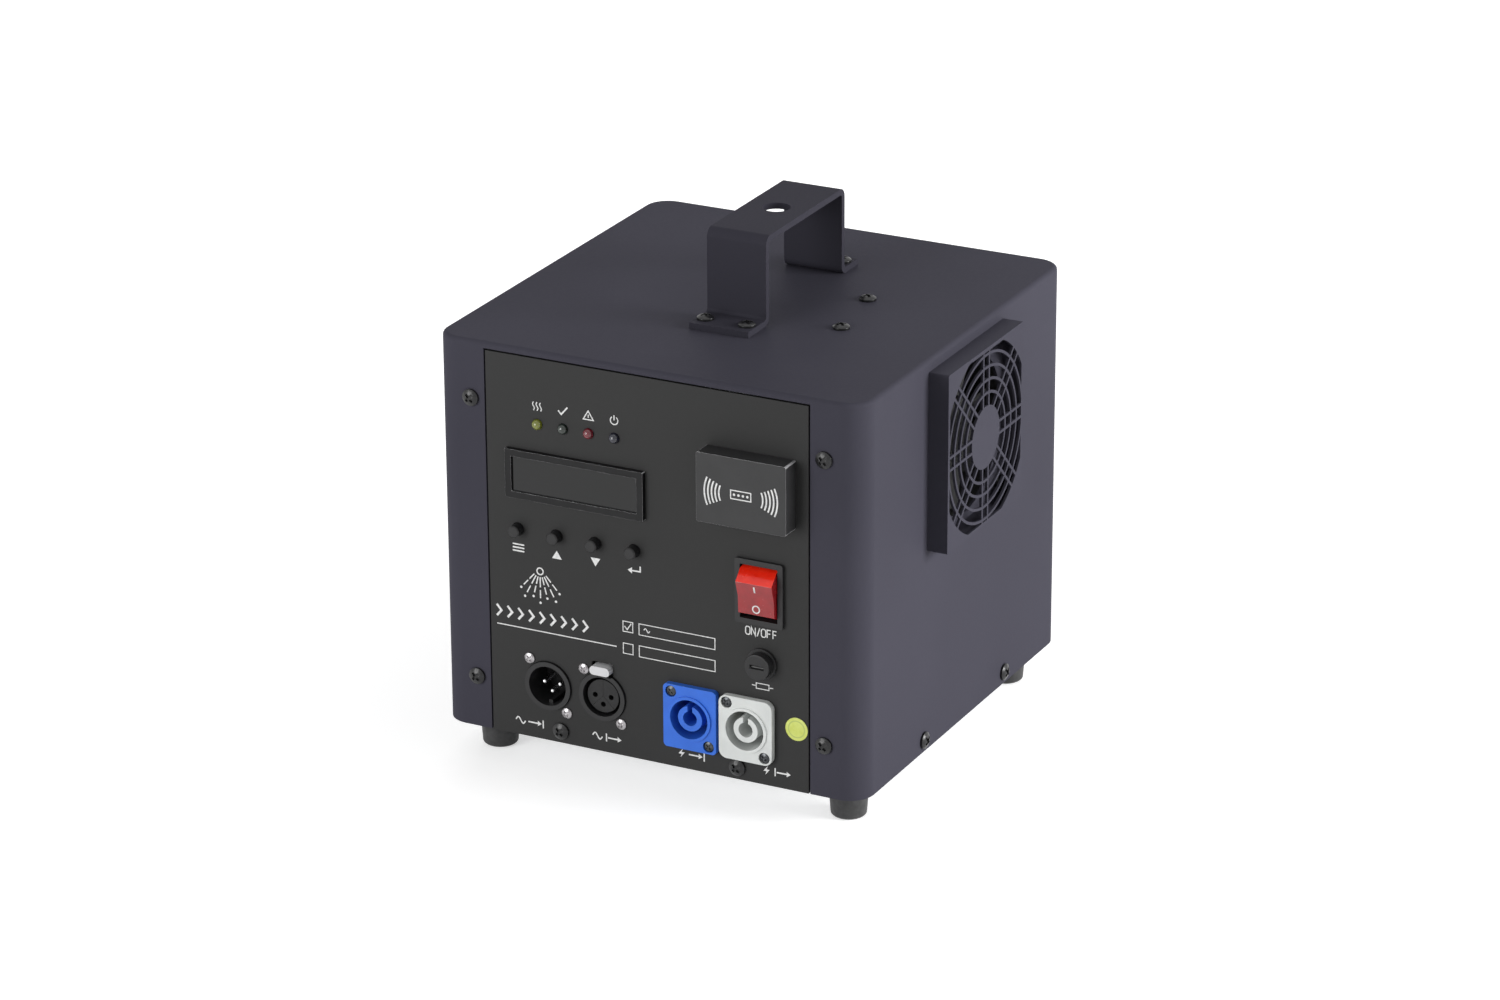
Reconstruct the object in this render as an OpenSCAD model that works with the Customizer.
// Cold spark machine for stage use, hung by its top bracket and firing downwards.
// Millimetres. X runs to the right, Y to the rear and Z upwards. The origin is on the
// floor under the middle of the machine's outline. Heights named below are measured
// from the casing's bottom edge, which the rubber feet lift off the floor.

/* [Casing] */
// Outside width of the casing
case_w = 216; // [212:1:226]
// Outside depth of the casing
case_d = 217; // [214:1:226]
// Height of the casing
case_h = 190; // [188:1:196]
// Thickness of the casing's sheet steel
sheet = 1.5; // [1.2:0.1:1.8]
// Radius of the cover's upright corners
corner_r = 12; // [10:0.5:13]
// Radius of the cover's top edges
edge_r = 2.2; // [2:0.1:2.8]
// Width of the cover's flange beside each end panel
flange_w = 26; // [25:0.5:27]
// Depth of the cover's lip above each end panel
lip_h = 3; // [2:0.5:4]
// Visible gap between an end panel and the cover
seam = 0.8; // [0.5:0.1:1.1]
// Clearance between sheets that slide past each other
panel_fit = 0.2; // [0.1:0.05:0.3]
// Thickness of the base plate
base_t = 2; // [1.5:0.1:2.5]
// Height of the base plate's upturned edges
base_lip_h = 10.5; // [9.5:0.5:11]

/* [Feet] */
// Height of a rubber foot
foot_h = 17; // [14:0.5:20]
// Radius of a foot where it meets the base
foot_top_r = 9.5; // [8.5:0.5:11]
// Radius of a foot at the floor
foot_floor_r = 8.3; // [7.5:0.1:8.4]
// Distance of a foot's axis from the middle, sideways
foot_x = 90.4; // [86:0.2:92]
// Distance of a foot's axis from the middle, front to back
foot_y = 86; // [82:0.5:92]

/* [Screws] */
// Radius of a casing screw's head
head_r = 4; // [3.4:0.1:4.4]
// Height of a casing screw's head
head_h = 2.4; // [2:0.1:3]
// Radius of a casing screw's thread
thread_r = 2; // [1.8:0.1:2.2]
// Radial clearance round a screw's thread
thread_gap = 0.05; // [0.03:0.01:0.1]
// Radial clearance of a screw in a plain hole
hole_gap = 0.25; // [0.15:0.05:0.3]
// Length of a casing screw under its head
case_screw_l = 8; // [6:0.5:9]

/* [Hanging bracket] */
// Sideways place of the bracket and of the spark outlet under it
axis_x = 8; // [6:0.5:10]
// Front to back place of the bracket and of the spark outlet under it
axis_y = 6.5; // [5:0.5:8]
// Width of the bracket's strip
strap_w = 30; // [28:0.5:34]
// Thickness of the bracket's strip
strap_t = 3; // [2.5:0.1:3.5]
// Outside distance between the bracket's legs
strap_span = 81; // [76:1:86]
// Height of the bracket above the casing
strap_h = 42.5; // [38:0.5:48]
// Inside radius of the bracket's bends
strap_bend_r = 1.5; // [1:0.1:2]
// Length of the front foot of the bracket, from its leg
strap_front_foot = 18; // [17:0.5:19]
// Length of the rear foot of the bracket, from its leg
strap_rear_foot = 14; // [13.5:0.5:15]
// Distance of the front foot's screws from the leg
strap_front_screw = 10.5; // [10:0.5:11]
// Distance of the rear foot's screws from the leg
strap_rear_screw = 7.5; // [7:0.5:8]
// Sideways distance between a foot's two screws
strap_screw_pitch = 21; // [20:0.5:21.5]
// Radius of the hole for the hanging clamp's bolt
clamp_hole_r = 6.5; // [5.5:0.5:7]
// Thickness of the stiffening plate under the casing's top
backing_t = 3; // [2:0.5:4]

/* [Front panel] */
// Height of the row of lamps
lamp_place_z = 154.9; // [153:0.1:157]
// Sideways place of the first lamp
lamp_place_x = -54.9; // [-57:0.1:-53]
// Distance between neighbouring lamps
lamp_pitch = 13.1; // [12:0.1:14]
// Radius of a lamp's lens
lamp_r = 2.5; // [2:0.1:3]
// Height that a lamp's lens stands out of the panel
lamp_out = 2.6; // [2.5:0.1:3.2]
// Width of the display's frame
display_w = 70.5; // [68:0.5:74]
// Height of the display's frame
display_h = 23.4; // [22:0.2:26]
// Sideways place of the display's middle
display_place_x = -35.7; // [-37:0.1:-35]
// Height of the display's middle
display_place_z = 129.8; // [129:0.1:131]
// Height that the display's frame stands out of the panel
display_out = 2.4; // [1.8:0.1:2.8]
// Width of the display's frame round its window
display_rim = 3.2; // [2.6:0.1:3.6]
// Height of the row of buttons
button_place_z = 102.3; // [101:0.1:104]
// Sideways place of the first button
button_place_x = -66; // [-67:0.1:-65]
// Distance between neighbouring buttons
button_pitch = 19.9; // [19:0.1:20.5]
// Radius of a button
button_r = 2.9; // [2.5:0.1:3.3]
// Height that a button stands out of the panel
button_out = 5; // [4:0.1:6]
// Travel of a button
button_travel = 0.5; // [0.3:0.1:0.8]

/* [Receiver] */
// Width of the remote receiver's cover
receiver_w = 44.5; // [42:0.5:47]
// Height of the remote receiver's cover
receiver_h = 33; // [31:0.5:35]
// Height that the receiver's cover stands out of the panel
receiver_out = 10; // [9.5:0.1:12]
// Wall of the receiver's cover
receiver_wall = 1.8; // [1.5:0.1:2.2]
// Sideways place of the receiver's middle
receiver_place_x = 52.8; // [51:0.1:54]
// Height of the receiver's middle
receiver_place_z = 143.4; // [142:0.1:145]

/* [Rocker switch] */
// Sideways place of the rocker switch
switch_place_x = 57.2; // [55:0.1:59]
// Height of the rocker switch
switch_place_z = 93.6; // [93:0.1:95]
// Width of the switch's frame
switch_w = 24; // [23.6:0.1:26]
// Height of the switch's frame
switch_h = 31; // [30.5:0.1:33]
// Height that the switch's frame stands out of the panel
switch_rim_t = 1.8; // [1.4:0.1:2.2]
// Width of the rocker
rocker_w = 18; // [16:0.1:18.4]
// Half of the rocker's height
rocker_half = 12.6; // [12:0.1:12.8]
// Gap between the rocker and the switch's frame
rocker_gap = 0.35; // [0.2:0.05:0.5]
// Tilt of the rocker each way from level
rocker_tilt = 10; // [8:0.5:11]
// Depth of the rocker's pivot behind the panel's face
rocker_pivot = 4; // [3.5:0.1:4.5]
// Radius of the rocker's trunnions
trunnion_r = 1.6; // [1.2:0.1:1.8]
// Depth of the switch behind the panel's face
switch_body_l = 24; // [22:0.5:28]

/* [Fuse holder] */
// Sideways place of the fuse holder
fuse_place_x = 58.2; // [57:0.1:60]
// Height of the fuse holder
fuse_place_z = 59.5; // [58.5:0.1:60.5]
// Radius of the fuse holder's collar
fuse_collar_r = 7.3; // [7:0.1:7.8]
// Radius of the fuse holder's body
fuse_body_r = 6; // [5.5:0.1:6.3]
// Depth of the fuse holder behind the panel's face
fuse_body_l = 34; // [32:0.5:38]
// Radius of the fuse cap
fuse_cap_r = 6.2; // [5.8:0.1:6.6]
// Height that the fuse cap stands out of the panel
fuse_cap_out = 6; // [5:0.1:7]

/* [Sockets] */
// Height of the signal sockets' middles
signal_z = 27.5; // [27:0.1:28.5]
// Distance between the two sockets of a pair
socket_pitch = 28.2; // [28:0.1:28.8]
// Sideways place of the pair of signal sockets
signal_place_x = -37.6; // [-38.5:0.1:-37]
// Outside radius of a signal socket's ring
signal_ring_r = 11.8; // [11.5:0.1:12]
// Inside radius of a signal socket's ring
signal_bore_r = 9.6; // [9.3:0.1:9.9]
// Radius of a signal contact pin
signal_pin_r = 1.2; // [1:0.1:1.3]
// Radius of the circle that the signal contacts lie on
signal_pin_circle = 4.1; // [3.8:0.1:4.6]
// Height of the power sockets' middles
power_z = 26.3; // [25.8:0.1:27]
// Sideways place of the pair of power sockets
power_place_x = 36.7; // [36.4:0.1:37.2]
// Width of a socket's flange
socket_w = 26.8; // [26:0.1:27.2]
// Height of a socket's flange
socket_h = 31; // [30:0.1:31.4]
// Thickness of a power socket's flange
power_flange_t = 3; // [2.6:0.1:3.4]
// Radius of a power socket's round well
power_well_r = 9.5; // [9:0.1:9.8]
// Radius of the core inside a power socket's well
power_core_r = 6.1; // [5.6:0.1:6.6]
// Depth of a socket behind the panel's face
socket_body_l = 22; // [20:0.5:24]
// Sideways distance between a socket's two screws
socket_screw_dx = 19; // [18.6:0.1:19.4]
// Upright distance between a socket's two screws
socket_screw_dz = 24; // [23.6:0.1:24.2]
// Radius of a socket screw's head
socket_head_r = 2.6; // [2.4:0.1:2.8]
// Radius of a socket screw's thread
socket_thread_r = 1.45; // [1.3:0.05:1.5]

/* [Cooling fan] */
// Side of the square cooling fan
fan_side = 80; // [78:0.5:82]
// Thickness of the cooling fan
fan_t = 25; // [22:0.5:27]
// Distance between the fan's screws
fan_screw_pitch = 71.5; // [70:0.5:72]
// Radius of the fan's air opening
fan_bore_r = 38; // [36.5:0.5:38.4]
// Front to back place of the fan
fan_y = -1.5; // [-3:0.1:0]
// Distance of the fan's middle below the casing's top
fan_drop = 48.8; // [48:0.1:49.5]
// Radius of the rotor's hub
fan_hub_r = 16.5; // [15:0.5:18]
// Gap between the blades' tips and the fan's frame
fan_tip_gap = 0.8; // [0.5:0.1:1.2]
// Number of fan blades
fan_blades = 7; // [5:1:9]
// Height that the fan's shroud stands out of the casing
shroud_out = 10; // [8:0.5:12]
// Width of the fan's shroud
shroud_w = 81; // [80:0.5:84]
// Height of the fan's shroud
shroud_h = 86; // [84:0.5:88]
// Thickness of the shroud's sheet
shroud_t = 1.2; // [1:0.1:1.5]
// Radius of the shroud's punched opening
grille_r = 45; // [43:0.5:46]
// Radius of the grille's middle disc
grille_disc_r = 15; // [14:0.5:16]
// Distance between the grille's rings
grille_ring_pitch = 6.2; // [6:0.1:6.4]
// Width of the grille's rings and spokes
grille_bar = 1.3; // [1.1:0.1:1.6]
// Distance between the two bars of a spoke
spoke_gap = 6; // [5:0.5:7]

/* [Spark path] */
// Inside radius of the spark tube and of the outlet
outlet_r = 11; // [10:0.5:12]
// Wall of the spark tube
tube_wall = 2; // [1.5:0.1:2.2]
// Depth of the outlet's collar below the casing
outlet_drop = 8; // [6:0.5:9]
// Radius of the outlet's flange
outlet_flange_r = 30; // [29:0.5:31]
// Thickness of the outlet's flange
outlet_flange_t = 3; // [2:0.5:4]
// Radius of the circle through the outlet flange's screws
outlet_screw_circle = 24; // [23.5:0.1:24.5]
// Inside radius of the heater's shield
shield_r = 26; // [25:0.5:27]
// Thickness of the heater's shield
shield_t = 1.2; // [1:0.1:1.5]
// Thickness of the ceramic heater
heater_t = 9; // [8:0.5:9.5]
// Height of the heater's shield above the base plate
shield_h = 50; // [48:0.5:52]
// Side of the square mixing head on the spark tube
head_side = 40; // [38:0.5:42]
// Height of the mixing head
mix_h = 32; // [30:0.5:34]

/* [Blower] */
// Radius of the blower's housing
blower_r = 35; // [34:0.5:35.5]
// Width of the blower's housing
blower_t = 30; // [28:0.5:32]
// Wall of the blower's housing
blower_wall = 2; // [1.6:0.1:2.2]
// Distance of the blower's axis behind the mixing head
blower_back = 43.5; // [43:0.1:44]
// Radius of the blower's wheel
wheel_r = 29.5; // [28:0.5:30]
// Radius of the blower's inlet
blower_inlet_r = 20; // [18:0.5:22]
// Number of blades on the blower's wheel
wheel_blades = 18; // [12:1:24]
// Radius of the blower's axle
axle_r = 3; // [2.5:0.1:3.5]
// Radial running clearance of axles and trunnions
running_fit = 0.05; // [0.03:0.01:0.08]

/* [Feed] */
// Height of the feed screw's axis
feed_z = 106; // [105.5:0.1:107]
// Outside radius of the feed tube
feed_tube_r = 10; // [9.5:0.1:10.5]
// Wall of the feed tube
feed_tube_wall = 1.8; // [1.5:0.1:2]
// Radius of the feed screw's flight
flight_r = 7.6; // [7:0.1:7.7]
// Radius of the feed screw's core
screw_core_r = 3; // [2.6:0.1:3.4]
// Number of turns of the feed screw
flight_turns = 5; // [4:1:6]
// Radius of the feed motor
motor_r = 18.5; // [17:0.5:18.5]
// Length of the feed motor
motor_l = 38; // [34:0.5:39]
// Thickness of the motor's bracket
motor_bracket_t = 2; // [1.5:0.1:2.5]
// Clearance between the hopper and the bracket's stiffening plate
hopper_gap = 7; // [5:0.5:9]
// Wall of the hopper
hopper_wall = 1.5; // [1.2:0.1:1.8]

/* [Filler door] */
// Height of the filler door
door_h = 28; // [27:0.5:28.5]
// Height of the filler opening
filler_h = 18; // [17:0.5:18.5]
// Radius of the door's hinge pin
door_pin_r = 1.5; // [1.3:0.1:1.7]
// Radius of the door's hinge knuckles
door_knuckle_r = 3; // [2.8:0.1:3.2]
// Gap between the filler door and the rear panel
door_gap = 0.4; // [0.3:0.1:0.6]

/* [Electrical] */
// Thickness of a circuit board
board_t = 1.6; // [1.2:0.1:2]
// Thickness of the power supply
supply_t = 30; // [28:0.5:32]
// Clearance between the power supply and the feed motor's bracket
supply_gap = 3.4; // [2.5:0.1:4]
// Length of the power supply
supply_l = 99; // [97:0.5:102]
// Height of the power supply
supply_h = 82; // [80:0.5:83]
// Thickness of the control board's bracket
board_bracket_t = 2; // [1.5:0.1:2.5]

/* [Hidden] */
$fn = 48;

// Outline of the machine and the shift that puts the origin under its middle
open_w = case_w - 2 * flange_w;
panel_w = open_w - 2 * seam;
panel_h = case_h - lip_h - seam;
face_y = case_d / 2;
wall_x = case_w / 2 - sheet;
wall_y = case_d / 2 - sheet;
top_in = case_h - sheet;
fan_z = case_h - fan_drop;
rear_out = 2 * door_knuckle_r + door_gap;
shift_x = (head_h - shroud_out) / 2;
shift_y = (receiver_out - rear_out) / 2;

// Parts on the front panel keep their share of its width and height. Their places are
// given for the panel as drawn. The sockets keep their height above the base plate and
// the distance within each pair.
drawn_panel_w = 162.4;
drawn_panel_h = 186.2;
share_x = panel_w / drawn_panel_w;
share_z = panel_h / drawn_panel_h;
lamp_x = lamp_place_x * share_x;
display_x = display_place_x * share_x;
button_x = button_place_x * share_x;
receiver_x = receiver_place_x * share_x;
switch_x = switch_place_x * share_x;
fuse_x = fuse_place_x * share_x;
signal_in_x = signal_place_x * share_x - socket_pitch / 2;
signal_out_x = signal_in_x + socket_pitch;
power_in_x = power_place_x * share_x - socket_pitch / 2;
power_out_x = power_in_x + socket_pitch;
sticker_x = 75.3 * share_x;
lamp_z = lamp_place_z * share_z;
display_z = display_place_z * share_z;
button_z = button_place_z * share_z;
receiver_z = receiver_place_z * share_z;
switch_z = switch_place_z * share_z;
fuse_z = fuse_place_z * share_z;

// Places of the casing's screws
tab_x = open_w / 2 + 7;
tab_screw_z = [25.4, panel_h - 23.8];
lip_screw_x = 45.4;
lip_screw_z = 6;
side_screw_y = 44;
bracket_x = axis_x + 34;
extra_screws = [[bracket_x + 12.5, -21], [bracket_x + 6.5, 19]];
clear_r = thread_r + hole_gap;
tap_r = thread_r + thread_gap;
tab_w = 13;
tab_under = 3;

// Heights along the spark path, and the blower and feed that join it
shield_top = base_t + shield_h;
head_top = shield_top + mix_h;
tube_r = outlet_r + tube_wall;
blower_y = axis_y + head_side / 2 + blower_back;
throat_z = shield_top + 2;
throat_h = mix_h - 4;
blower_z = throat_z + throat_h - blower_r;
supply_x = -case_w / 2 + case_screw_l + 0.6;
motor_x = supply_x + supply_t + supply_gap;
feed_bore_r = feed_tube_r - feed_tube_wall;
hopper_x = motor_x + 8;
hopper_w = axis_x - strap_w / 2 - hopper_gap - hopper_x;
filler_w = hopper_w - 6;
door_w = filler_w + 12;
hopper_floor = feed_z + 12;
door_x = hopper_x + hopper_w / 2;
door_z = case_h - lip_h - seam - 1 - door_h / 2;

// The fan's screws have narrower heads, which fit inside the shroud
fan_head_r = shroud_w / 2 - shroud_t - fan_screw_pitch / 2 - 0.3;

// Boards and small parts behind the front panel, and half the length of the control board
board_half = 48;
display_board_out = -sheet - 3.4;
panel_board_out = -sheet - 11;
tact_h = 4;
button_collar_t = 1;
rocker_slot = rocker_half + rocker_gap;
switch_wall = 1.6;
receiver_board_lift = 3;
fuse_bore_r = 4.2;
fuse_tube_r = 2.6;

// Sockets, the output socket's latch and the sticker beside them
signal_ring_out = 1.2;
signal_depth = 16;
latch_w = 10.4;
latch_h = 4.4;
latch_z = 13.4;
latch_travel = 0.8;
power_body_r = 11.6;
power_blade_r = 8;
power_sink = 1.2;
sticker_z = 30.6;

// Filler door, and the fan's hub and spider
door_t = 1.5;
hinge_drop = door_h / 2 + door_knuckle_r;
fan_hub_depth = 18;
fan_back_t = 3;
fan_pin_r = 1.5;

// Moves a child from the casing's own place to the origin on the floor
module in_frame() {
    translate([shift_x, shift_y, foot_h]) children();
}

// Local Z points out of the front panel, local Y upwards and local X to the right
module on_front(x, z) {
    translate([x, -face_y, z]) rotate([90, 0, 0]) children();
}

// Local Z points out of the rear panel and local Y upwards
module on_rear(x, z) {
    translate([x, face_y, z]) rotate([90, 0, 180]) children();
}

// Local Z points out of the right side, local X to the rear and local Y upwards
module on_right(y, z) {
    translate([case_w / 2, y, z]) rotate([90, 0, 90]) children();
}

module rounded_rect(w, d, r) {
    square([w - 2 * r, d], center = true);
    square([w, d - 2 * r], center = true);
    for (x = [-1, 1], y = [-1, 1])
        translate([x * (w / 2 - r), y * (d / 2 - r)]) circle(r = r);
}

module slab(w, d, t, r) {
    linear_extrude(t) rounded_rect(w, d, r);
}

module ring(r_out, r_in, h) {
    difference() {
        cylinder(r = r_out, h = h);
        translate([0, 0, -1]) cylinder(r = r_in, h = h + 2);
    }
}

module box_at(x0, x1, y0, y1, z0, z1) {
    translate([x0, y0, z0]) cube([x1 - x0, y1 - y0, z1 - z0]);
}

// A slab whose top edge is rounded all the way round
module rounded_case(w, d, h, r, e) {
    slab(w, d, h - e, r);
    slab(w - 2 * e, d - 2 * e, h, r - e);
    for (x = [-1, 1])
        translate([x * (w / 2 - e), d / 2 - r, h - e])
            rotate([90, 0, 0]) linear_extrude(d - 2 * r) circle(r = e);
    for (y = [-1, 1])
        translate([-w / 2 + r, y * (d / 2 - e), h - e])
            rotate([90, 0, 90]) linear_extrude(w - 2 * r) circle(r = e);
    for (x = [-1, 1], y = [-1, 1])
        translate([x * (w / 2 - r), y * (d / 2 - r), h - e])
            rotate_extrude() translate([r - e, 0]) intersection() {
                circle(r = e);
                translate([0, -e]) square([e, 2 * e]);
            }
}

// Pan-head screw with a cross recess, seated at local Z = 0
module pan_screw(r, h, shank_r, shank_l) {
    crown = 0.55 * h;
    dome_r = (r * r + crown * crown) / (2 * crown);
    recess_w = 0.32 * r;
    difference() {
        union() {
            translate([0, 0, -shank_l]) cylinder(r = shank_r, h = shank_l + h / 3);
            intersection() {
                cylinder(r = r, h = h);
                translate([0, 0, h - dome_r]) sphere(r = dome_r);
            }
        }
        for (a = [45, 135]) rotate([0, 0, a])
            translate([-0.58 * r, -recess_w / 2, 0.5 * h]) cube([1.16 * r, recess_w, h]);
    }
}

module case_screw(l = case_screw_l) {
    pan_screw(head_r, head_h, thread_r, l);
}

// Holes for the screws that hold the cover's flanges to the end panels
module tab_holes(r) {
    for (x = [-tab_x, tab_x], z = tab_screw_z)
        translate([x, 0, z]) rotate([90, 0, 0]) cylinder(r = r, h = 3 * case_d, center = true);
}

module side_holes(r) {
    for (y = [-side_screw_y, side_screw_y])
        translate([0, y, lip_screw_z]) rotate([0, 90, 0]) cylinder(r = r, h = 2 * case_w, center = true);
}

module lip_holes(r) {
    for (x = [-lip_screw_x, lip_screw_x])
        translate([x, 0, lip_screw_z]) rotate([90, 0, 0]) cylinder(r = r, h = 3 * case_d, center = true);
}

// Places of the bracket's screws, on the casing's top
module at_strap_screws() {
    for (x = [-1, 1])
        for (y = [-strap_span / 2 - strap_front_screw, strap_span / 2 + strap_rear_screw])
            translate([axis_x + x * strap_screw_pitch / 2, axis_y + y, 0]) children();
}

module at_extra_screws() {
    for (p = extra_screws) translate([p[0], p[1], 0]) children();
}

module at_fan_screws() {
    for (y = [-1, 1], z = [-1, 1])
        on_right(fan_y + y * fan_screw_pitch / 2, fan_z + z * fan_screw_pitch / 2) children();
}

module cover_shell() {
    color([0.26, 0.25, 0.3]) in_frame() difference() {
        rounded_case(case_w, case_d, case_h, corner_r, edge_r);
        translate([0, 0, -1]) slab(case_w - 2 * sheet, case_d - 2 * sheet, top_in + 1, corner_r - sheet);
        box_at(-open_w / 2, open_w / 2, -case_d, case_d, -1, case_h - lip_h);
        tab_holes(clear_r);
        side_holes(clear_r);
        translate([0, 0, case_h - 2 * sheet]) at_strap_screws() cylinder(r = clear_r, h = 3 * sheet);
        translate([0, 0, case_h - 2 * sheet]) at_extra_screws() cylinder(r = clear_r, h = 3 * sheet);
        on_right(fan_y, fan_z) translate([0, 0, -2 * sheet]) cylinder(r = fan_bore_r, h = 3 * sheet);
        at_fan_screws() translate([0, 0, -2 * sheet]) cylinder(r = clear_r, h = 3 * sheet);
    }
}

// End panel with the stepped tabs that lie behind the cover's flanges
module end_panel_blank() {
    tab_bottom = base_lip_h + 3;
    difference() {
        union() {
            box_at(-panel_w / 2, panel_w / 2, -face_y, -wall_y, 0, panel_h);
            for (x = [-1, 1])
                translate([x * (panel_w / 2 - tab_under + (tab_w + tab_under) / 2), 0, 0])
                    box_at(-(tab_w + tab_under) / 2, (tab_w + tab_under) / 2,
                           -wall_y, -wall_y + sheet, tab_bottom, panel_h - 6);
        }
        tab_holes(tap_r);
        lip_holes(clear_r);
    }
}

module at_socket_screws(x, z) {
    for (s = [-1, 1])
        on_front(x + s * socket_screw_dx / 2, z - s * socket_screw_dz / 2) children();
}

module front_panel() {
    cut = 3 * sheet;
    color([0.23, 0.23, 0.24]) in_frame() difference() {
        end_panel_blank();
        for (i = [0:3]) {
            on_front(lamp_x + i * lamp_pitch, lamp_z)
                translate([0, 0, -cut]) cylinder(r = lamp_r + 0.1, h = 2 * cut);
            on_front(button_x + i * button_pitch, button_z)
                translate([0, 0, -cut]) cylinder(r = button_r + hole_gap, h = 2 * cut);
        }
        on_front(display_x, display_z) translate([0, 0, -cut])
            slab(display_w + 0.3, display_h + 0.3, 2 * cut, 0.6);
        on_front(receiver_x, receiver_z) translate([0, 0, -cut]) cylinder(r = 5, h = 2 * cut);
        on_front(switch_x, switch_z) translate([0, 0, -cut])
            slab(rocker_w + 2 * (rocker_gap + switch_wall) + 0.4, 2 * (rocker_slot + switch_wall / 2) + 0.4,
                 2 * cut, 0.6);
        on_front(fuse_x, fuse_z) translate([0, 0, -cut]) cylinder(r = fuse_body_r + hole_gap, h = 2 * cut);
        for (x = [signal_in_x, signal_out_x])
            on_front(x, signal_z) translate([0, 0, -cut]) cylinder(r = signal_ring_r + hole_gap, h = 2 * cut);
        on_front(signal_out_x, signal_z + latch_z) translate([0, 0, -cut])
            slab(latch_w + 0.8, latch_h + 2 * latch_travel + 0.8, 2 * cut, 1.2);
        for (x = [power_in_x, power_out_x])
            on_front(x, power_z) translate([0, 0, -cut]) cylinder(r = power_body_r + hole_gap, h = 2 * cut);
        for (x = [signal_in_x, signal_out_x])
            at_socket_screws(x, signal_z) translate([0, 0, -cut])
                cylinder(r = socket_thread_r + hole_gap, h = 2 * cut);
        for (x = [power_in_x, power_out_x])
            at_socket_screws(x, power_z) translate([0, 0, -cut])
                cylinder(r = socket_thread_r + thread_gap, h = 2 * cut);
    }
}

module rear_panel() {
    cut = 3 * sheet;
    vent_l = 44;
    vent_pitch = 8;
    color([0.23, 0.23, 0.24]) in_frame() difference() {
        mirror([0, 1, 0]) end_panel_blank();
        on_rear(door_x, door_z) translate([0, 0, -cut]) slab(filler_w, filler_h, 2 * cut, 2);
        for (i = [0:7])
            on_rear(20 + i * vent_pitch, 60) translate([0, 0, -cut]) slab(3.2, vent_l, 2 * cut, 1.5);
    }
}

module base_tray() {
    half_w = wall_x - panel_fit;
    half_d = wall_y - panel_fit;
    lip_x = open_w / 2 - 8;
    lip_y = half_d - corner_r;
    color([0.55, 0.56, 0.58]) in_frame() difference() {
        union() {
            slab(2 * half_w, 2 * half_d, base_t, corner_r - sheet);
            for (s = [-1, 1]) {
                translate([0, s * (half_d - sheet / 2), 0])
                    box_at(-lip_x, lip_x, -sheet / 2, sheet / 2, 0, base_lip_h);
                translate([s * (half_w - sheet / 2), 0, 0])
                    box_at(-sheet / 2, sheet / 2, -lip_y, lip_y, 0, base_lip_h);
            }
        }
        side_holes(tap_r);
        lip_holes(tap_r);
        translate([axis_x, axis_y, -1]) cylinder(r = tube_r + 1, h = base_t + 2);
        at_outlet_screws() translate([0, 0, -1]) cylinder(r = tap_r, h = base_t + 2);
        at_feet() translate([0, 0, -1]) cylinder(r = tap_r, h = base_t + 2);
        for (i = [0:7])
            translate([52 + 4.5 * i, -30, -1]) slab(2.4, 50, base_t + 2, 1.1);
    }
}

module at_feet() {
    for (x = [-foot_x, foot_x], y = [-foot_y, foot_y]) translate([x, y, 0]) children();
}

module at_outlet_screws() {
    for (a = [45:90:315])
        translate([axis_x, axis_y, 0]) rotate([0, 0, a]) translate([outlet_screw_circle, 0, 0]) children();
}

module rubber_feet() {
    recess_r = head_r + 1;
    recess_h = foot_h - 5;
    color([0.06, 0.06, 0.06]) in_frame() at_feet() translate([0, 0, -foot_h])
        rotate_extrude() polygon([
            [recess_r, 0], [foot_floor_r - 1, 0], [foot_floor_r, 1], [foot_top_r, foot_h],
            [clear_r, foot_h], [clear_r, recess_h], [recess_r, recess_h]
        ]);
}

module base_screws() {
    foot_seat = 5;
    color([0.12, 0.12, 0.13]) in_frame() {
        at_feet() translate([0, 0, -foot_seat]) mirror([0, 0, 1]) case_screw(foot_seat + base_t + 1);
        at_outlet_screws() translate([0, 0, -outlet_flange_t])
            mirror([0, 0, 1]) case_screw(outlet_flange_t + base_t - 0.2);
    }
}

module case_screws() {
    color([0.12, 0.12, 0.13]) in_frame() {
        for (x = [-tab_x, tab_x], z = tab_screw_z) {
            on_front(x, z) case_screw();
            on_rear(x, z) case_screw();
        }
        for (x = [-lip_screw_x, lip_screw_x]) {
            on_front(x, lip_screw_z) case_screw();
            on_rear(x, lip_screw_z) case_screw();
        }
        for (y = [-side_screw_y, side_screw_y]) {
            on_right(y, lip_screw_z) case_screw();
            mirror([1, 0, 0]) on_right(y, lip_screw_z) case_screw();
        }
        at_fan_screws() pan_screw(fan_head_r, head_h, thread_r, case_screw_l);
    }
}

// Fan shroud on the right side, with a punched ring grille
module grille_window() {
    intersection() {
        circle(r = grille_r);
        square([shroud_w - 2 * shroud_t - 1.2, shroud_h - 2 * shroud_t - 1.2], center = true);
    }
}

module grille_bars() {
    circle(r = grille_disc_r);
    for (i = [1:4]) difference() {
        circle(r = grille_disc_r + i * grille_ring_pitch + grille_bar / 2);
        circle(r = grille_disc_r + i * grille_ring_pitch - grille_bar / 2);
    }
    for (a = [0:45:135], s = [-1, 1]) rotate(a)
        translate([0, s * spoke_gap / 2]) square([2 * grille_r + 4, grille_bar], center = true);
}

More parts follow.
